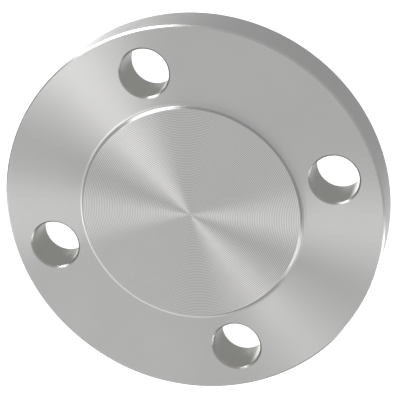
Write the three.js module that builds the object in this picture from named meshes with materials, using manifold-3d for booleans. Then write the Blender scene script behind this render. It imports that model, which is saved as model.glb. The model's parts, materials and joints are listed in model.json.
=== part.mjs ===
// A raised-face blind flange for 1 1/2 inch pipe, class 150: one solid round plate that
// closes the end of a pipe. Millimetres, +Z up. It lies on its flat back face, with the
// origin at the middle of that face and the raised sealing face on top.
import * as THREE from "three";
import { mergeVertices } from "three/addons/utils/BufferGeometryUtils.js";
import Module from "manifold-3d";

// Driving dimensions.
const FLANGE_DIAMETER = 127.0;
const BOLT_FACE_HEIGHT = 15.9; // back face to the turned face around the bolt holes
const RAISED_FACE_DIAMETER = 73.0;
const RAISED_FACE_STEP = 1.6; // the sealing face stands this far above the bolt face
const RAISED_FACE_EDGE_BREAK = 0.3; // 45 degree break around the sealing face
const STEP_FILLET_RADIUS = 1.2; // left by the turning tool's nose at the foot of the step
const RIM_CHAMFER = 0.6; // 45 degree chamfer on both edges of the rim
const BOLT_CIRCLE_DIAMETER = 98.4;
const BOLT_HOLE_COUNT = 4;
const BOLT_HOLE_DIAMETER = 15.9; // clears a 1/2 inch stud
const BOLT_HOLE_CHAMFER = 0.6; // 45 degree deburr at both mouths of each hole

// The first hole is half a spacing off +X, so the holes straddle the X and Y axes, as
// they straddle the centrelines of a pipe run.
const FIRST_HOLE_ANGLE = Math.PI / BOLT_HOLE_COUNT;

// How finely round shapes are divided.
const RIM_SIDES = 144;
const HOLE_SIDES = 48;
const FILLET_STEPS = 4;

// Worked out from the driving dimensions.
const RIM_RADIUS = FLANGE_DIAMETER / 2;
const RAISED_FACE_RADIUS = RAISED_FACE_DIAMETER / 2;
const RAISED_FACE_HEIGHT = BOLT_FACE_HEIGHT + RAISED_FACE_STEP;
const BOLT_CIRCLE_RADIUS = BOLT_CIRCLE_DIAMETER / 2;
const BOLT_HOLE_RADIUS = BOLT_HOLE_DIAMETER / 2;

const MACHINED_STEEL = { color: 0xb9b8b6, roughness: 0.32, metalness: 1.0 };

const wasm = await Module();
wasm.setup();

// The concave quarter round between the step's wall and the bolt face, listed from the
// bolt face up to the wall.
function stepFillet() {
  const centreRadius = RAISED_FACE_RADIUS + STEP_FILLET_RADIUS;
  const centreHeight = BOLT_FACE_HEIGHT + STEP_FILLET_RADIUS;
  const points = [];
  for (let step = 0; step <= FILLET_STEPS; step += 1) {
    const angle = (-Math.PI / 2) * (1 + step / FILLET_STEPS);
    points.push(
      new THREE.Vector2(
        centreRadius + STEP_FILLET_RADIUS * Math.cos(angle),
        centreHeight + STEP_FILLET_RADIUS * Math.sin(angle),
      ),
    );
  }
  return points;
}

// Half of the turned section, as radius and height, from the middle of the back face
// round the rim to the middle of the raised face.
function turnedSection() {
  return [
    new THREE.Vector2(0, 0),
    new THREE.Vector2(RIM_RADIUS - RIM_CHAMFER, 0),
    new THREE.Vector2(RIM_RADIUS, RIM_CHAMFER),
    new THREE.Vector2(RIM_RADIUS, BOLT_FACE_HEIGHT - RIM_CHAMFER),
    new THREE.Vector2(RIM_RADIUS - RIM_CHAMFER, BOLT_FACE_HEIGHT),
    ...stepFillet(),
    new THREE.Vector2(RAISED_FACE_RADIUS, RAISED_FACE_HEIGHT - RAISED_FACE_EDGE_BREAK),
    new THREE.Vector2(RAISED_FACE_RADIUS - RAISED_FACE_EDGE_BREAK, RAISED_FACE_HEIGHT),
    new THREE.Vector2(0, RAISED_FACE_HEIGHT),
  ];
}

// Half of the section that a drill and a countersink on each side remove. It runs past
// both faces, and its cones keep opening as they leave the plate.
function drilledSection() {
  const overrun = 1;
  const mouthRadius = BOLT_HOLE_RADIUS + BOLT_HOLE_CHAMFER + overrun;
  return [
    new THREE.Vector2(0, -overrun),
    new THREE.Vector2(mouthRadius, -overrun),
    new THREE.Vector2(BOLT_HOLE_RADIUS, BOLT_HOLE_CHAMFER),
    new THREE.Vector2(BOLT_HOLE_RADIUS, BOLT_FACE_HEIGHT - BOLT_HOLE_CHAMFER),
    new THREE.Vector2(mouthRadius, BOLT_FACE_HEIGHT + overrun),
    new THREE.Vector2(0, BOLT_FACE_HEIGHT + overrun),
  ];
}

// A lathe turns its section about Y, so the result is laid over to stand along Z.
function turnedAboutZ(section, sides) {
  return new THREE.LatheGeometry(section, sides).rotateX(Math.PI / 2);
}

function solidFrom(geometry) {
  const bare = geometry.clone();
  bare.deleteAttribute("normal");
  bare.deleteAttribute("uv");
  const merged = mergeVertices(bare);
  return new wasm.Manifold(
    new wasm.Mesh({
      numProp: 3,
      vertProperties: merged.attributes.position.array,
      triVerts: new Uint32Array(merged.index.array),
    }),
  );
}

function geometryFrom(solid) {
  const mesh = solid.getMesh();
  const geometry = new THREE.BufferGeometry();
  geometry.setAttribute("position", new THREE.BufferAttribute(mesh.vertProperties, 3));
  geometry.setIndex(new THREE.BufferAttribute(mesh.triVerts, 1));
  geometry.computeVertexNormals();
  return geometry;
}

function drilledFlange() {
  let plate = solidFrom(turnedAboutZ(turnedSection(), RIM_SIDES));
  for (let hole = 0; hole < BOLT_HOLE_COUNT; hole += 1) {
    const angle = FIRST_HOLE_ANGLE + (2 * Math.PI * hole) / BOLT_HOLE_COUNT;
    const drill = turnedAboutZ(drilledSection(), HOLE_SIDES);
    drill.translate(
      BOLT_CIRCLE_RADIUS * Math.cos(angle),
      BOLT_CIRCLE_RADIUS * Math.sin(angle),
      0,
    );
    plate = plate.subtract(solidFrom(drill));
  }
  return geometryFrom(plate);
}

const blindFlange = new THREE.Mesh(
  drilledFlange(),
  new THREE.MeshStandardMaterial(MACHINED_STEEL),
);
blindFlange.name = "blind_flange";

const flange = new THREE.Group();
flange.add(blindFlange);

export default flange;
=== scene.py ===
"""A raised-face blind flange in turned and drilled stainless steel, with the stage it stands on.

Run as a script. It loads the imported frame, makes the flange's finished surface in the
same place and at the same size, lights it and sets the camera.
"""

import json
from math import cos, hypot, pi, radians, sin, sqrt

import bmesh
import bpy
from bpy.props import FloatProperty, FloatVectorProperty, IntProperty, PointerProperty
from bpy.types import Operator, Panel, PropertyGroup
from mathutils import Matrix, Vector


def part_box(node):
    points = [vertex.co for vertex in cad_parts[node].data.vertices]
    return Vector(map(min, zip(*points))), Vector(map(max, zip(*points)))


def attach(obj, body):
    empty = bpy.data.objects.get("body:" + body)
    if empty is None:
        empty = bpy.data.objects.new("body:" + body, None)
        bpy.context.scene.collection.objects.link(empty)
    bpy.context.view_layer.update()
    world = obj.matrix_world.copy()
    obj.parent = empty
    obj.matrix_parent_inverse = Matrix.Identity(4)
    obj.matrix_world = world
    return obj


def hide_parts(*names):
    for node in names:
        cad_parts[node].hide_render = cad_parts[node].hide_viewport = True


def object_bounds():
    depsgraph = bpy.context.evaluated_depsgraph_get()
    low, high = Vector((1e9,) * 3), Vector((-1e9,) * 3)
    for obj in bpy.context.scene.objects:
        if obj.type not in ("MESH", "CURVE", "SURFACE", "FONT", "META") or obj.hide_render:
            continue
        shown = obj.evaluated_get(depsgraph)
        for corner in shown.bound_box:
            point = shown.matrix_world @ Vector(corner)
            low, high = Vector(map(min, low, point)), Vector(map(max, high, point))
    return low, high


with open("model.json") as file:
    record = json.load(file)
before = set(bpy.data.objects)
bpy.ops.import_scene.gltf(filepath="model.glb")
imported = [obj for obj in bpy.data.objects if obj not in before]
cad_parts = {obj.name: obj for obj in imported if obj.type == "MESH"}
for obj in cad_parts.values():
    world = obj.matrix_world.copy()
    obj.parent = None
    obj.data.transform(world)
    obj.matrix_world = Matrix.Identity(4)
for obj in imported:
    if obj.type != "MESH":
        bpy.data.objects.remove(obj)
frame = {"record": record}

bl_info = {
    "name": "Blind Flange",
    "version": (1, 0, 0),
    "blender": (4, 5, 0),
    "location": "3D View > Sidebar > Flange",
    "description": "Makes a turned and drilled blind flange around its packed frame",
    "category": "Add Mesh",
}

NODE = "blind_flange"
CAD_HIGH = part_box(NODE)[1]
OBJECT_LOW, OBJECT_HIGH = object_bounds()
MM = 0.001
CREASE_ANGLE = radians(25)
TONE_SPREAD = 0.05
ROUGHNESS_SPREAD = 0.06
PIT_COLOUR = (0.05, 0.05, 0.05, 1.0)
HOLE_BOXES = [
    opening["box_m"]
    for opening in frame["record"]["physics"]["openings"]
    if not opening["name"].endswith(("_across_x", "_across_y"))
]
HOLE_CENTRES = [
    Vector(((low[0] + high[0]) / 2, (low[1] + high[1]) / 2, 0))
    for low, high in HOLE_BOXES
]


# ---------------------------------------------------------------- what a user can change


class FlangeSizes(PropertyGroup):
    raised_face_radius: FloatProperty(
        name="Raised face radius",
        description="Radius of the step around the sealing face",
        default=36.5 * MM,
        unit="LENGTH",
    )
    raised_face_step: FloatProperty(
        name="Raised face step",
        description="How far the sealing face stands above the bolt face",
        default=1.6 * MM,
        unit="LENGTH",
    )
    step_edge_break: FloatProperty(
        name="Step edge break",
        description="Width of the 45 degree break around the sealing face",
        default=0.3 * MM,
        unit="LENGTH",
    )
    step_fillet: FloatProperty(
        name="Step fillet",
        description="Radius that the turning tool leaves at the foot of the step",
        default=1.2 * MM,
        unit="LENGTH",
    )
    rim_chamfer: FloatProperty(
        name="Rim chamfer",
        description="Width of the 45 degree chamfer on both edges of the rim",
        default=0.6 * MM,
        unit="LENGTH",
    )
    groove_pitch: FloatProperty(
        name="Groove pitch",
        description="Distance from one serration of the sealing face to the next",
        default=0.556 * MM,
        unit="LENGTH",
    )
    groove_depth: FloatProperty(
        name="Groove depth",
        description="Depth of one serration",
        default=0.015 * MM,
        unit="LENGTH",
    )
    plain_land: FloatProperty(
        name="Plain land",
        description="Width left smooth between the last serration and the edge break",
        default=0.25 * MM,
        unit="LENGTH",
    )
    edge_rounding: FloatProperty(
        name="Edge rounding",
        description="How far the sharp corners of the turned profile are eased",
        default=0.08 * MM,
        unit="LENGTH",
    )
    hole_radius: FloatProperty(
        name="Bolt hole radius",
        description="Radius of each drilled bolt hole",
        default=7.95 * MM,
        unit="LENGTH",
    )
    hole_chamfer: FloatProperty(
        name="Bolt hole chamfer",
        description="Width of the 45 degree deburr at both mouths of each bolt hole",
        default=0.6 * MM,
        unit="LENGTH",
    )
    turning_steps: IntProperty(
        name="Turning steps",
        description="Sides that stand for a full turn of the plate",
        default=256,
        min=32,
    )
    drilling_steps: IntProperty(
        name="Drilling steps",
        description="Sides that stand for a full turn of each bolt hole",
        default=96,
        min=16,
    )


class FlangeFinish(PropertyGroup):
    steel: FloatVectorProperty(
        name="Steel",
        description="Colour of the bare turned steel",
        subtype="COLOR",
        size=3,
        min=0.0,
        max=1.0,
        default=(0.68, 0.675, 0.67),
    )
    # Darker than the turned steel: partly the drilled steel's own tone, partly painted shade
    # inside the bolt holes.
    bore_steel_and_shade: FloatVectorProperty(
        name="Drilled steel and painted shade",
        description="Colour of the steel inside the bolt holes",
        subtype="COLOR",
        size=3,
        min=0.0,
        max=1.0,
        default=(0.57, 0.565, 0.54),
    )
    sealing_face_roughness: FloatProperty(
        name="Sealing face roughness",
        description="Roughness of the flanks of the serrations",
        default=0.30,
        min=0.0,
        max=1.0,
    )
    bolt_face_roughness: FloatProperty(
        name="Bolt face roughness",
        description="Roughness of the face around the bolt holes",
        default=0.30,
        min=0.0,
        max=1.0,
    )
    edge_roughness: FloatProperty(
        name="Edge roughness",
        description="Roughness of the rim, the step and the chamfers",
        default=0.30,
        min=0.0,
        max=1.0,
    )
    bore_roughness: FloatProperty(
        name="Bore roughness",
        description="Roughness of the drilled walls",
        default=0.32,
        min=0.0,
        max=1.0,
    )
    back_face_roughness: FloatProperty(
        name="Back face roughness",
        description="Roughness of the face that lies on the floor",
        default=0.38,
        min=0.0,
        max=1.0,
    )


class StageSettings(PropertyGroup):
    floor: FloatVectorProperty(
        name="Floor",
        description="Colour of the floor and of the backdrop",
        subtype="COLOR",
        size=3,
        min=0.0,
        max=1.0,
        default=(1.0, 1.0, 1.0),
    )
    floor_glow: FloatProperty(
        name="Floor glow",
        description="How brightly the floor is lit from within",
        default=0.93,
        min=0.0,
    )
    floor_radius: FloatProperty(
        name="Floor radius",
        description="Radius of the floor",
        default=4.0,
        unit="LENGTH",
    )
    floor_gap: FloatProperty(
        name="Floor gap",
        description="How far the floor is below the back face, so that the two don't mix",
        default=0.05 * MM,
        unit="LENGTH",
    )
    ground_tone: FloatProperty(
        name="Ground tone",
        description="Brightness of the studio straight below",
        default=0.5,
        min=0.0,
    )
    ceiling_tone: FloatProperty(
        name="Ceiling tone",
        description="Brightness of the studio straight above",
        default=0.64,
        min=0.0,
    )
    focal_length: FloatProperty(
        name="Focal length",
        description="Focal length of the camera",
        default=161.0,
        unit="CAMERA",
    )
    sensor_width: FloatProperty(
        name="Sensor width",
        description="Width of the camera's sensor",
        default=36.0,
        unit="CAMERA",
    )
    aim: FloatVectorProperty(
        name="Aim",
        description="The point that the camera looks at",
        subtype="XYZ",
        size=3,
        unit="LENGTH",
        default=(-0.4 * MM, -5.57 * MM, 15.9 * MM),
    )
    distance: FloatProperty(
        name="Distance",
        description="Distance from the camera to the point it looks at",
        default=0.5825,
        unit="LENGTH",
    )
    azimuth: FloatProperty(
        name="Azimuth",
        description="How far the camera has gone round the flange from the -Y side",
        default=radians(-1.27),
        unit="ROTATION",
    )
    elevation: FloatProperty(
        name="Elevation",
        description="Angle of the camera above the floor",
        default=radians(65.33),
        unit="ROTATION",
    )
    roll: FloatProperty(
        name="Roll",
        description="How far the camera is turned about its own axis",
        default=radians(-149.62),
        unit="ROTATION",
    )


def sizes():
    return bpy.context.scene.flange_sizes


def finish():
    return bpy.context.scene.flange_finish


def stage_settings():
    return bpy.context.scene.flange_stage


# ------------------------------------------------------------------------------ profiles


def last_crest(size):
    """Radius of the outermost crest of the serrations."""
    return size.raised_face_radius - size.step_edge_break - size.plain_land


def serrations(outer_radius, height, pitch, depth):
    """Radius and height along the serrated face, from its centre to its last crest. Each
    groove is the shallow round scallop that the tool's nose leaves."""
    count = int(outer_radius / pitch)
    start = outer_radius - count * pitch
    points = [(0.0, height)]
    for groove in range(count):
        inner = start + groove * pitch
        for share in (0.0, 0.25, 0.5, 0.75):
            dip = 1 - (2 * share - 1) ** 2
            points.append((inner + share * pitch, height - depth * dip))
    points.append((outer_radius, height))
    return points


def step_foot(size, floor_height):
    """The concave quarter round at the foot of the step, from the wall to the bolt face."""
    steps = 8
    centre_radius = size.raised_face_radius + size.step_fillet
    centre_height = floor_height + size.step_fillet
    points = []
    for step in range(steps + 1):
        angle = pi + (pi / 2) * step / steps
        points.append(
            (
                centre_radius + size.step_fillet * cos(angle),
                centre_height + size.step_fillet * sin(angle),
            )
        )
    return points


def plate_profile(size):
    """Radius and height round the turned section, from the middle of the sealing face over
    the rim to the middle of the back face, and the corners to be eased."""
    top = CAD_HIGH.z
    bolt_face = top - size.raised_face_step
    rim = CAD_HIGH.x
    break_start = size.raised_face_radius - size.step_edge_break
    support = 2 * size.edge_rounding
    points = serrations(last_crest(size), top, size.groove_pitch, size.groove_depth)
    corners = [(break_start, top), (size.raised_face_radius, top - size.step_edge_break)]
    points += corners
    foot = step_foot(size, bolt_face)
    points += foot
    points.append((foot[-1][0] + support, bolt_face))
    rim_corners = [
        (rim - size.rim_chamfer, bolt_face),
        (rim, bolt_face - size.rim_chamfer),
        (rim, size.rim_chamfer),
        (rim - size.rim_chamfer, 0.0),
    ]
    points.append((rim_corners[0][0] - support, bolt_face))
    points += rim_corners
    points.append((rim_corners[3][0] - support, 0.0))
    points.append((0.0, 0.0))
    return points, corners + rim_corners


def drill_profile(size):
    """Radius and height round the metal that the drill and two countersinks remove, from
    above the plate to below it, and the corners to be eased."""
    bolt_face = CAD_HIGH.z - size.raised_face_step
    overrun = 1 * MM
    wide = size.hole_radius + size.hole_chamfer + overrun
    corners = [
        (size.hole_radius, bolt_face - size.hole_chamfer),
        (size.hole_radius, size.hole_chamfer),
    ]
    points = [(0.0, bolt_face + overrun), (wide, bolt_face + overrun)]
    points += corners
    points += [(wide, -overrun), (0.0, -overrun)]
    return points, corners


# ------------------------------------------------------------------------ making meshes


def turned(name, profile, corners, steps, rounding):
    """A solid turned about Z from a profile of radius and height."""
    mesh = bpy.data.meshes.new(name)
    edges = [(index, index + 1) for index in range(len(profile) - 1)]
    mesh.from_pydata([(radius, 0.0, height) for radius, height in profile], edges, [])
    piece = bpy.data.objects.new(name, mesh)
    bpy.context.scene.collection.objects.link(piece)

    eased = piece.vertex_groups.new(name="eased corners")
    eased.add([profile.index(corner) for corner in corners], 1.0, "REPLACE")
    bevel = piece.modifiers.new("Ease the corners", "BEVEL")
    bevel.affect = "VERTICES"
    bevel.limit_method = "VGROUP"
    bevel.vertex_group = eased.name
    bevel.width = rounding
    bevel.segments = 3

    screw = piece.modifiers.new("Turn about the axis", "SCREW")
    screw.axis = "Z"
    screw.angle = 2 * pi
    screw.steps = steps
    screw.render_steps = steps
    screw.use_merge_vertices = True
    screw.merge_threshold = 0.0005 * MM
    screw.use_smooth_shade = True
    screw.use_normal_calculate = True
    return piece


def apply_stack(piece):
    """Makes the piece's modifiers part of its mesh."""
    depsgraph = bpy.context.evaluated_depsgraph_get()
    finished = bpy.data.meshes.new_from_object(
        piece.evaluated_get(depsgraph), preserve_all_data_layers=True, depsgraph=depsgraph
    )
    rough = piece.data
    piece.modifiers.clear()
    piece.data = finished
    finished.name = rough.name
    bpy.data.meshes.remove(rough)


def face_outwards(piece):
    """Points every face of a closed solid outwards."""
    solid = bmesh.new()
    solid.from_mesh(piece.data)
    bmesh.ops.recalc_face_normals(solid, faces=solid.faces)
    solid.to_mesh(piece.data)
    solid.free()


def give_finishes(plate, size):
    """Gives each face of the undrilled plate the finish of the surface that it is part of."""
    bolt_face = CAD_HIGH.z - size.raised_face_step
    sealing_edge = size.raised_face_radius - size.step_edge_break
    for face in plate.data.polygons:
        middle = face.center
        radius = hypot(middle.x, middle.y)
        if radius < sealing_edge and middle.z > bolt_face:
            face.material_index = 0
        elif face.normal.z > 0.999 and abs(middle.z - bolt_face) < 0.01 * MM:
            face.material_index = 1
        elif face.normal.z < -0.999:
            face.material_index = 3
        else:
            face.material_index = 2


def shade_edges(plate):
    """Keeps flat faces flat to the light, with a crease only at sharp corners."""
    plate.data.set_sharp_from_angle(angle=CREASE_ANGLE)
    weighted = plate.modifiers.new("Flat faces stay flat", "WEIGHTED_NORMAL")
    weighted.mode = "FACE_AREA"
    weighted.weight = 80
    weighted.keep_sharp = True


def drill_out(plate, drill, centre):
    """Cuts the drill's shape, moved to a centre, out of the plate."""
    drill.data.transform(Matrix.Translation(centre))
    cut = plate.modifiers.new("Drill a bolt hole", "BOOLEAN")
    cut.operation = "DIFFERENCE"
    cut.solver = "MANIFOLD"
    cut.object = drill
    cut.material_mode = "TRANSFER"
    apply_stack(plate)
    drill.data.transform(Matrix.Translation(-centre))


# ---------------------------------------------------------------------------- materials


def machined_steel(
    name,
    colour,
    roughness,
    anisotropy,
    about_axis,
    rings_by_radius,
    ring_width,
    ring_depth,
    feed_start,
    feed_pitch,
    valley_shade_contrast,
    pitting,
):
    """Bare steel as a cutting tool leaves it. The tool's marks run round an axis, and the
    glint spreads across them. ring_width and ring_depth are the size of the uneven marks.
    The even marks of the feed are feed_pitch apart, counted in from feed_start, and the contrast
    of the feed says how much darker the bottom of each one is painted: painted shade in the
    valleys of the marks, not a colour of the steel."""
    material = bpy.data.materials.new(name)
    material.use_nodes = True
    nodes = material.node_tree.nodes
    links = material.node_tree.links
    nodes.clear()

    place = nodes.new("NodeFrame")
    place.label = "Where on the flange"
    lay = nodes.new("NodeFrame")
    lay.label = "Lay of the tool marks"
    relief = nodes.new("NodeFrame")
    relief.label = "Depth of the tool marks"
    tone = nodes.new("NodeFrame")
    tone.label = "Tone of the steel, with painted shade"
    polish = nodes.new("NodeFrame")
    polish.label = "Smudges and worn polish"

    coordinates = nodes.new("ShaderNodeTexCoord")
    coordinates.label = "Flange's own axes"
    coordinates.location = (-1800, 200)
    coordinates.parent = place
    axes = nodes.new("ShaderNodeSeparateXYZ")
    axes.label = "Across and up"
    axes.location = (-1600, 200)
    axes.parent = place
    outward = nodes.new("ShaderNodeCombineXYZ")
    outward.label = "Straight out from the axis"
    outward.location = (-1400, 200)
    outward.parent = place
    radius = nodes.new("ShaderNodeVectorMath")
    radius.label = "Distance from the axis"
    radius.location = (-1200, 200)
    radius.parent = place
    radius.operation = "LENGTH"
    links.new(coordinates.outputs["Object"], axes.inputs["Vector"])
    links.new(axes.outputs["X"], outward.inputs["X"])
    links.new(axes.outputs["Y"], outward.inputs["Y"])
    links.new(outward.outputs["Vector"], radius.inputs[0])

    upward = nodes.new("ShaderNodeCombineXYZ")
    upward.label = "Along the axis"
    upward.location = (-1400, 600)
    upward.parent = lay
    upward.inputs["Z"].default_value = 1.0
    around = nodes.new("ShaderNodeVectorMath")
    around.label = "Round the axis"
    around.location = (-1200, 600)
    around.parent = lay
    around.operation = "CROSS_PRODUCT"
    carried = nodes.new("ShaderNodeVectorTransform")
    carried.label = "Turned with the flange"
    carried.location = (-1000, 600)
    carried.parent = lay
    carried.vector_type = "VECTOR"
    carried.convert_from = "OBJECT"
    carried.convert_to = "WORLD"
    links.new(upward.outputs["Vector"], around.inputs[0])
    links.new(outward.outputs["Vector"], around.inputs[1])
    lay_source = around if about_axis else upward
    links.new(lay_source.outputs["Vector"], carried.inputs["Vector"])

    fine_marks = nodes.new("ShaderNodeTexNoise")
    fine_marks.label = "Each pass of the tool"
    fine_marks.location = (-900, 100)
    fine_marks.parent = relief
    fine_marks.noise_dimensions = "1D"
    fine_marks.inputs["Scale"].default_value = 1.0 / ring_width
    fine_marks.inputs["Detail"].default_value = 2.0
    slow_marks = nodes.new("ShaderNodeTexNoise")
    slow_marks.label = "Drift of the feed"
    slow_marks.location = (-900, -150)
    slow_marks.parent = relief
    slow_marks.noise_dimensions = "1D"
    slow_marks.inputs["Scale"].default_value = 1.0 / (9 * ring_width)
    slow_marks.inputs["Detail"].default_value = 3.0
    both_marks = nodes.new("ShaderNodeMath")
    both_marks.label = "Passes and drift"
    both_marks.location = (-700, 100)
    both_marks.parent = relief
    both_marks.operation = "ADD"
    bump = nodes.new("ShaderNodeBump")
    bump.label = "Marks cut into the face"
    bump.location = (-500, 100)
    bump.parent = relief
    bump.inputs["Distance"].default_value = ring_depth
    ring_source = radius.outputs["Value"] if rings_by_radius else axes.outputs["Z"]
    links.new(ring_source, fine_marks.inputs["W"])
    links.new(ring_source, slow_marks.inputs["W"])
    links.new(fine_marks.outputs["Fac"], both_marks.inputs[0])
    links.new(slow_marks.outputs["Fac"], both_marks.inputs[1])
    links.new(both_marks.outputs["Value"], bump.inputs["Height"])

    blotches = nodes.new("ShaderNodeTexNoise")
    blotches.label = "Uneven tone of the metal"
    blotches.location = (-900, -500)
    blotches.parent = tone
    blotches.inputs["Scale"].default_value = 40.0
    blotches.inputs["Detail"].default_value = 3.0
    blotched = nodes.new("ShaderNodeMix")
    blotched.label = "Steel, a little uneven"
    blotched.location = (-600, -500)
    blotched.parent = tone
    blotched.data_type = "RGBA"
    blotched.inputs["A"].default_value = (*((1 - TONE_SPREAD) * Vector(colour)), 1.0)
    blotched.inputs["B"].default_value = (*((1 + TONE_SPREAD) * Vector(colour)), 1.0)
    # Painted shade: rings of colour, darker at the bottom of each feed mark, stand in for the
    # shade that falls in the valleys of the tool marks.
    feed = nodes.new("ShaderNodeMath")
    feed.label = "Distance in from the first mark"
    feed.location = (-900, -250)
    feed.parent = tone
    feed.operation = "SUBTRACT"
    feed.inputs[0].default_value = feed_start
    mark = nodes.new("ShaderNodeMath")
    mark.label = "From crest to bottom"
    mark.location = (-750, -250)
    mark.parent = tone
    mark.operation = "PINGPONG"
    mark.inputs[1].default_value = feed_pitch / 2
    valley_shade = nodes.new("ShaderNodeMapRange")
    valley_shade.label = "Painted shade at the bottom"
    valley_shade.location = (-600, -250)
    valley_shade.parent = tone
    valley_shade.inputs["From Max"].default_value = feed_pitch / 2
    valley_shade.inputs["To Min"].default_value = 1.0 + valley_shade_contrast / 2
    valley_shade.inputs["To Max"].default_value = 1.0 - valley_shade_contrast / 2
    steel_with_valley_shade = nodes.new("ShaderNodeMix")
    steel_with_valley_shade.label = "Steel with painted shade in the feed marks"
    steel_with_valley_shade.location = (-450, -350)
    steel_with_valley_shade.parent = tone
    steel_with_valley_shade.data_type = "RGBA"
    steel_with_valley_shade.blend_type = "MULTIPLY"
    steel_with_valley_shade.inputs["Factor"].default_value = 1.0
    pits = nodes.new("ShaderNodeTexVoronoi")
    pits.label = "Where a pit could be"
    pits.location = (-1100, -800)
    pits.parent = tone
    pits.inputs["Scale"].default_value = 260.0
    pit_edge = nodes.new("ShaderNodeMapRange")
    pit_edge.label = "Small round pits"
    pit_edge.location = (-900, -800)
    pit_edge.parent = tone
    pit_edge.inputs["From Min"].default_value = 0.05
    pit_edge.inputs["From Max"].default_value = 0.02
    pit_choice = nodes.new("ShaderNodeSeparateColor")
    pit_choice.label = "A number for each pit"
    pit_choice.location = (-900, -1050)
    pit_choice.parent = tone
    few_pits = nodes.new("ShaderNodeMapRange")
    few_pits.label = "Only a few are there"
    few_pits.location = (-700, -1050)
    few_pits.parent = tone
    few_pits.inputs["From Min"].default_value = 0.7
    few_pits.inputs["From Max"].default_value = 1.0
    few_pits.inputs["To Max"].default_value = pitting
    pit_strength = nodes.new("ShaderNodeMath")
    pit_strength.label = "How dark each pit is"
    pit_strength.location = (-500, -800)
    pit_strength.parent = tone
    pit_strength.operation = "MULTIPLY"
    pitted = nodes.new("ShaderNodeMix")
    pitted.label = "Steel with its pits"
    pitted.location = (-300, -500)
    pitted.parent = tone
    pitted.data_type = "RGBA"
    pitted.inputs["B"].default_value = PIT_COLOUR
    links.new(coordinates.outputs["Object"], blotches.inputs["Vector"])
    links.new(blotches.outputs["Fac"], blotched.inputs["Factor"])
    links.new(ring_source, feed.inputs[1])
    links.new(feed.outputs["Value"], mark.inputs[0])
    links.new(mark.outputs["Value"], valley_shade.inputs["Value"])
    links.new(blotched.outputs["Result"], steel_with_valley_shade.inputs["A"])
    links.new(valley_shade.outputs["Result"], steel_with_valley_shade.inputs["B"])
    links.new(coordinates.outputs["Object"], pits.inputs["Vector"])
    links.new(pits.outputs["Distance"], pit_edge.inputs["Value"])
    links.new(pits.outputs["Color"], pit_choice.inputs["Color"])
    links.new(pit_choice.outputs["Red"], few_pits.inputs["Value"])
    links.new(pit_edge.outputs["Result"], pit_strength.inputs[0])
    links.new(few_pits.outputs["Result"], pit_strength.inputs[1])
    links.new(pit_strength.outputs["Value"], pitted.inputs["Factor"])
    links.new(steel_with_valley_shade.outputs["Result"], pitted.inputs["A"])

    smudges = nodes.new("ShaderNodeTexNoise")
    smudges.label = "Smudges left by handling"
    smudges.location = (-700, -1400)
    smudges.parent = polish
    smudges.inputs["Scale"].default_value = 90.0
    smudges.inputs["Detail"].default_value = 5.0
    smudges.inputs["Distortion"].default_value = 0.6
    dulled = nodes.new("ShaderNodeMapRange")
    dulled.label = "Roughness over the face"
    dulled.location = (-500, -1400)
    dulled.parent = polish
    dulled.inputs["From Min"].default_value = 0.3
    dulled.inputs["From Max"].default_value = 0.7
    dulled.inputs["To Min"].default_value = (1 - ROUGHNESS_SPREAD) * roughness
    dulled.inputs["To Max"].default_value = (1 + ROUGHNESS_SPREAD) * roughness
    links.new(coordinates.outputs["Object"], smudges.inputs["Vector"])
    links.new(smudges.outputs["Fac"], dulled.inputs["Value"])

    steel = nodes.new("ShaderNodeBsdfPrincipled")
    steel.label = "Machined steel"
    steel.location = (0, 0)
    steel.inputs["Metallic"].default_value = 1.0
    steel.inputs["Anisotropic"].default_value = anisotropy
    steel.inputs["Anisotropic Rotation"].default_value = 0.25 if about_axis else 0.0
    surface = nodes.new("ShaderNodeOutputMaterial")
    surface.label = "Surface"
    surface.location = (300, 0)
    links.new(pitted.outputs["Result"], steel.inputs["Base Color"])
    links.new(dulled.outputs["Result"], steel.inputs["Roughness"])
    links.new(bump.outputs["Normal"], steel.inputs["Normal"])
    links.new(carried.outputs["Vector"], steel.inputs["Tangent"])
    links.new(steel.outputs["BSDF"], surface.inputs["Surface"])
    return material


def steel_finishes(look, size):
    """The finish of each surface of the plate, in the order of its material slots."""
    return [
        machined_steel(
            "serrated_sealing_face",
            look.steel,
            look.sealing_face_roughness,
            anisotropy=1.0,
            about_axis=True,
            rings_by_radius=True,
            ring_width=0.12 * MM,
            ring_depth=0.0002 * MM,
            # The sealing face's feed rings follow its serrations, with painted shade at the
            # bottom of each groove.
            feed_start=last_crest(size),
            feed_pitch=size.groove_pitch,
            valley_shade_contrast=0.6,
            pitting=0.5,
        ),
        machined_steel(
            "faced_bolt_face",
            look.steel,
            look.bolt_face_roughness,
            anisotropy=1.0,
            about_axis=True,
            rings_by_radius=True,
            ring_width=0.15 * MM,
            ring_depth=0.001 * MM,
            feed_start=CAD_HIGH.x,
            feed_pitch=0.2 * MM,
            valley_shade_contrast=0.03,
            pitting=0.2,
        ),
        machined_steel(
            "turned_edges",
            look.steel,
            look.edge_roughness,
            anisotropy=0.6,
            about_axis=True,
            rings_by_radius=False,
            ring_width=0.2 * MM,
            ring_depth=0.001 * MM,
            feed_start=CAD_HIGH.z,
            feed_pitch=0.25 * MM,
            valley_shade_contrast=0.04,
            pitting=0.2,
        ),
        machined_steel(
            "faced_back",
            look.steel,
            look.back_face_roughness,
            anisotropy=0.9,
            about_axis=True,
            rings_by_radius=True,
            ring_width=0.35 * MM,
            ring_depth=0.003 * MM,
            feed_start=CAD_HIGH.x,
            feed_pitch=0.5 * MM,
            valley_shade_contrast=0.1,
            pitting=0.6,
        ),
    ]


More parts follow.
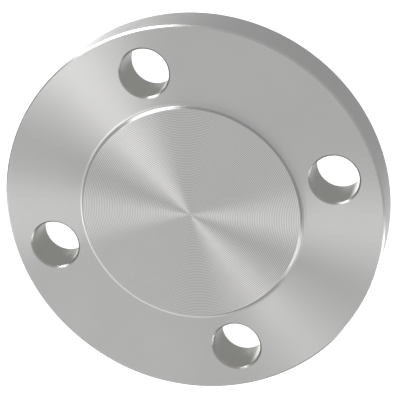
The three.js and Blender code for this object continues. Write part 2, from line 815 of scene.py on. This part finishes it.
def bore_finish(look):
    """The finish of the drilled walls and their countersunk mouths. Its darker colour is partly
    the drilled steel's own tone and partly painted shade inside the holes, and the bottoms of
    its feed marks are painted shade.
    """
    return machined_steel(
        "drilled_bore",
        look.bore_steel_and_shade,
        look.bore_roughness,
        anisotropy=0.5,
        about_axis=False,
        rings_by_radius=False,
        ring_width=0.25 * MM,
        ring_depth=0.006 * MM,
        feed_start=CAD_HIGH.z,
        feed_pitch=0.3 * MM,
        valley_shade_contrast=0.12,
        pitting=0.9,
    )


# -------------------------------------------------------------------------------- stage


# Each light that draws a streak on the turned faces: its name, the way the streak runs, in
# degrees round from +X towards +Y, how far along the streak the light is moved from where
# the faces mirror the camera to, how wide it looks in degrees, and how bright it looks.
STREAK_LIGHTS = (
    ("main_streak_upper", -14, 0.4, 15, 1.8),
    ("main_streak_lower", -27, 0.45, 15, 2.4),
    ("second_streak_right", 32, 0.5, 15, 3.0),
    ("second_streak_left", 20, -0.4, 12, 1.8),
    ("broad_scrim", 85, 0.45, 50, 0.6),
)

# Each light that shows mostly in the rim, the step, the chamfers and the holes: its name, how
# far round from +X towards +Y and how high it is, how wide it looks, all in degrees, and
# how bright it looks.
EDGE_LIGHTS = (
    ("low_right", -25, -8, 40, 9.0),
    ("low_behind", 70, -20, 40, 2.0),
    ("low_left", 165, -10, 40, 4.0),
    ("below_behind", 60, -60, 25, 2.2),
    ("below_left", 125, -62, 30, 0.35),
)


def direction_of(azimuth, elevation):
    """The unit vector at an angle round from +X and above the horizon."""
    return Vector(
        (cos(azimuth) * cos(elevation), sin(azimuth) * cos(elevation), sin(elevation))
    )


def streak_direction(settings, streak, reach):
    """Where a light has to be to draw a streak across the turned faces. Tool marks that run
    round the axis spread a glint across themselves, so a light that is moved sideways from
    the mirror direction shows as a streak that runs the way it was moved."""
    mirror = direction_of(radians(90) + settings.azimuth, settings.elevation)
    moved = mirror + reach * direction_of(radians(streak), 0.0)
    return Vector((moved.x, moved.y, sqrt(1 - moved.x**2 - moved.y**2)))


def hang_light(name, towards, width, brightness):
    """A broad distant light that shines on the flange from one direction."""
    light = bpy.data.lights.new(name, "SUN")
    light.angle = radians(width)
    light.energy = brightness * pi * sin(light.angle / 2) ** 2
    hung = bpy.data.objects.new(name, light)
    bpy.context.scene.collection.objects.link(hung)
    hung.location = 0.5 * towards
    hung.rotation_mode = "QUATERNION"
    hung.rotation_quaternion = towards.to_track_quat("Z", "Y")


def floor_material(settings):
    """A pale lit floor. It is clear from below, so that the underside can be looked at."""
    material = bpy.data.materials.new("pale_floor")
    material.use_nodes = True
    nodes = material.node_tree.nodes
    links = material.node_tree.links
    nodes.clear()

    top = nodes.new("NodeFrame")
    top.label = "Seen from above"
    below = nodes.new("NodeFrame")
    below.label = "Seen from below"

    paint = nodes.new("ShaderNodeBsdfDiffuse")
    paint.label = "Matt floor"
    paint.location = (-600, 200)
    paint.parent = top
    paint.inputs["Color"].default_value = (*settings.floor, 1.0)
    glow = nodes.new("ShaderNodeEmission")
    glow.label = "Lit evenly from within"
    glow.location = (-600, 0)
    glow.parent = top
    glow.inputs["Color"].default_value = (*settings.floor, 1.0)
    glow.inputs["Strength"].default_value = settings.floor_glow
    lit = nodes.new("ShaderNodeAddShader")
    lit.label = "Lit floor"
    lit.location = (-350, 100)
    lit.parent = top
    links.new(paint.outputs["BSDF"], lit.inputs[0])
    links.new(glow.outputs["Emission"], lit.inputs[1])

    side = nodes.new("ShaderNodeNewGeometry")
    side.label = "Which side"
    side.location = (-600, -250)
    side.parent = below
    clear = nodes.new("ShaderNodeBsdfTransparent")
    clear.label = "Clear"
    clear.location = (-350, -350)
    clear.parent = below
    either = nodes.new("ShaderNodeMixShader")
    either.label = "Clear from below"
    either.location = (-100, 0)
    surface = nodes.new("ShaderNodeOutputMaterial")
    surface.label = "Surface"
    surface.location = (150, 0)
    links.new(side.outputs["Backfacing"], either.inputs["Fac"])
    links.new(lit.outputs["Shader"], either.inputs[1])
    links.new(clear.outputs["BSDF"], either.inputs[2])
    links.new(either.outputs["Shader"], surface.inputs["Surface"])
    return material


def lay_floor(settings):
    """A wide flat floor just under the flange. The steel doesn't mirror it, so the edges
    show the studio's soft tones."""
    mesh = bpy.data.meshes.new("floor")
    disc = bmesh.new()
    bmesh.ops.create_circle(disc, cap_ends=True, segments=64, radius=settings.floor_radius)
    bmesh.ops.translate(disc, verts=disc.verts, vec=(0, 0, OBJECT_LOW.z - settings.floor_gap))
    disc.to_mesh(mesh)
    disc.free()
    floor = bpy.data.objects.new("floor", mesh)
    bpy.context.scene.collection.objects.link(floor)
    mesh.materials.append(floor_material(settings))
    floor.visible_glossy = False
    floor.visible_shadow = False


def surround_with_walls(settings):
    """Soft studio walls around the flange, darker towards the ground, behind a plain pale
    backdrop."""
    world = bpy.data.worlds.new("studio_walls")
    bpy.context.scene.world = world
    world.use_nodes = True
    nodes = world.node_tree.nodes
    links = world.node_tree.links
    nodes.clear()

    walls = nodes.new("NodeFrame")
    walls.label = "Walls that the steel mirrors"
    backdrop = nodes.new("NodeFrame")
    backdrop.label = "Backdrop"

    direction = nodes.new("ShaderNodeTexCoord")
    direction.label = "Direction"
    direction.location = (-1200, 200)
    direction.parent = walls
    height = nodes.new("ShaderNodeSeparateXYZ")
    height.label = "How high"
    height.location = (-1000, 200)
    height.parent = walls
    shade = nodes.new("ShaderNodeMapRange")
    shade.label = "Ground to ceiling"
    shade.location = (-800, 200)
    shade.parent = walls
    shade.inputs["From Min"].default_value = -1.0
    shade.inputs["To Min"].default_value = settings.ground_tone
    shade.inputs["To Max"].default_value = settings.ceiling_tone
    wall_light = nodes.new("ShaderNodeBackground")
    wall_light.label = "Studio walls"
    wall_light.location = (-500, 200)
    wall_light.parent = walls
    links.new(direction.outputs["Generated"], height.inputs["Vector"])
    links.new(height.outputs["Z"], shade.inputs["Value"])
    links.new(shade.outputs["Result"], wall_light.inputs["Strength"])

    pale = nodes.new("ShaderNodeBackground")
    pale.label = "Plain pale backdrop"
    pale.location = (-500, -100)
    pale.parent = backdrop
    pale.inputs["Color"].default_value = (*settings.floor, 1.0)
    seen = nodes.new("ShaderNodeLightPath")
    seen.label = "Seen straight on or mirrored"
    seen.location = (-500, 600)
    seen.parent = backdrop
    either = nodes.new("ShaderNodeMixShader")
    either.label = "Backdrop or walls"
    either.location = (-200, 200)
    surface = nodes.new("ShaderNodeOutputWorld")
    surface.label = "Studio"
    surface.location = (0, 200)
    links.new(seen.outputs["Is Camera Ray"], either.inputs["Fac"])
    links.new(wall_light.outputs["Background"], either.inputs[1])
    links.new(pale.outputs["Background"], either.inputs[2])
    links.new(either.outputs["Shader"], surface.inputs["Surface"])


def set_camera(settings):
    """A camera that looks down at the flange from in front, turned about its own axis."""
    camera_data = bpy.data.cameras.new("camera")
    camera_data.lens = settings.focal_length
    camera_data.sensor_width = settings.sensor_width
    camera = bpy.data.objects.new("camera", camera_data)
    bpy.context.scene.collection.objects.link(camera)
    front = radians(-90)
    away = direction_of(front + settings.azimuth, settings.elevation)
    level = away.to_track_quat("Z", "Y")
    turn = Matrix.Rotation(settings.roll, 3, "Z").to_quaternion()
    camera.location = Vector(settings.aim) + settings.distance * away
    camera.rotation_mode = "QUATERNION"
    camera.rotation_quaternion = level @ turn
    return camera


# ---------------------------------------------------------------------------- operators


class FLANGE_OT_body(Operator):
    """Turns the plate, drills its bolt holes and gives each surface its finish"""

    bl_idname = "flange.body"
    bl_label = "Flange body"

    def execute(self, context):
        size = sizes()
        profile, corners = plate_profile(size)
        plate = turned(
            "turned_flange", profile, corners, size.turning_steps, size.edge_rounding
        )
        apply_stack(plate)
        face_outwards(plate)
        for steel in steel_finishes(finish(), size):
            plate.data.materials.append(steel)
        give_finishes(plate, size)

        profile, corners = drill_profile(size)
        drill = turned("drill", profile, corners, size.drilling_steps, size.edge_rounding)
        apply_stack(drill)
        face_outwards(drill)
        drill.data.materials.append(bore_finish(finish()))
        for centre in HOLE_CENTRES:
            drill_out(plate, drill, centre)
        bpy.data.objects.remove(drill)
        shade_edges(plate)
        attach(plate, "root")
        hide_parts(NODE)
        return {"FINISHED"}


class FLANGE_OT_stage(Operator):
    """Lays the floor, hangs the studio lights and sets the camera"""

    bl_idname = "flange.stage"
    bl_label = "Stage"

    def execute(self, context):
        settings = stage_settings()
        lay_floor(settings)
        surround_with_walls(settings)
        for name, streak, reach, width, brightness in STREAK_LIGHTS:
            hang_light(name, streak_direction(settings, streak, reach), width, brightness)
        for name, azimuth, elevation, width, brightness in EDGE_LIGHTS:
            towards = direction_of(radians(azimuth), radians(elevation))
            hang_light(name, towards, width, brightness)
        context.scene.camera = set_camera(settings)
        context.scene.view_settings.view_transform = "Standard"
        return {"FINISHED"}


# -------------------------------------------------------------------------------- panel


class FLANGE_PT_panel(Panel):
    """Sizes, finish and stage of the blind flange"""

    bl_idname = "FLANGE_PT_panel"
    bl_label = "Blind flange"
    bl_space_type = "VIEW_3D"
    bl_region_type = "UI"
    bl_category = "Flange"

    def draw(self, context):
        for settings in (sizes(), finish(), stage_settings()):
            box = self.layout.box()
            for name in settings.__annotations__:
                box.prop(settings, name)
        for operator in (FLANGE_OT_body, FLANGE_OT_stage):
            self.layout.operator(operator.bl_idname)


CLASSES = [
    FlangeSizes,
    FlangeFinish,
    StageSettings,
    FLANGE_OT_body,
    FLANGE_OT_stage,
    FLANGE_PT_panel,
]


def register():
    for cls in CLASSES:
        bpy.utils.register_class(cls)
    bpy.types.Scene.flange_sizes = PointerProperty(type=FlangeSizes)
    bpy.types.Scene.flange_finish = PointerProperty(type=FlangeFinish)
    bpy.types.Scene.flange_stage = PointerProperty(type=StageSettings)


def unregister():
    for name in ("flange_sizes", "flange_finish", "flange_stage"):
        delattr(bpy.types.Scene, name)
    for cls in reversed(CLASSES):
        bpy.utils.unregister_class(cls)


def main():
    register()
    bpy.ops.flange.body()
    bpy.ops.flange.stage()


if __name__ == "__main__":
    main()
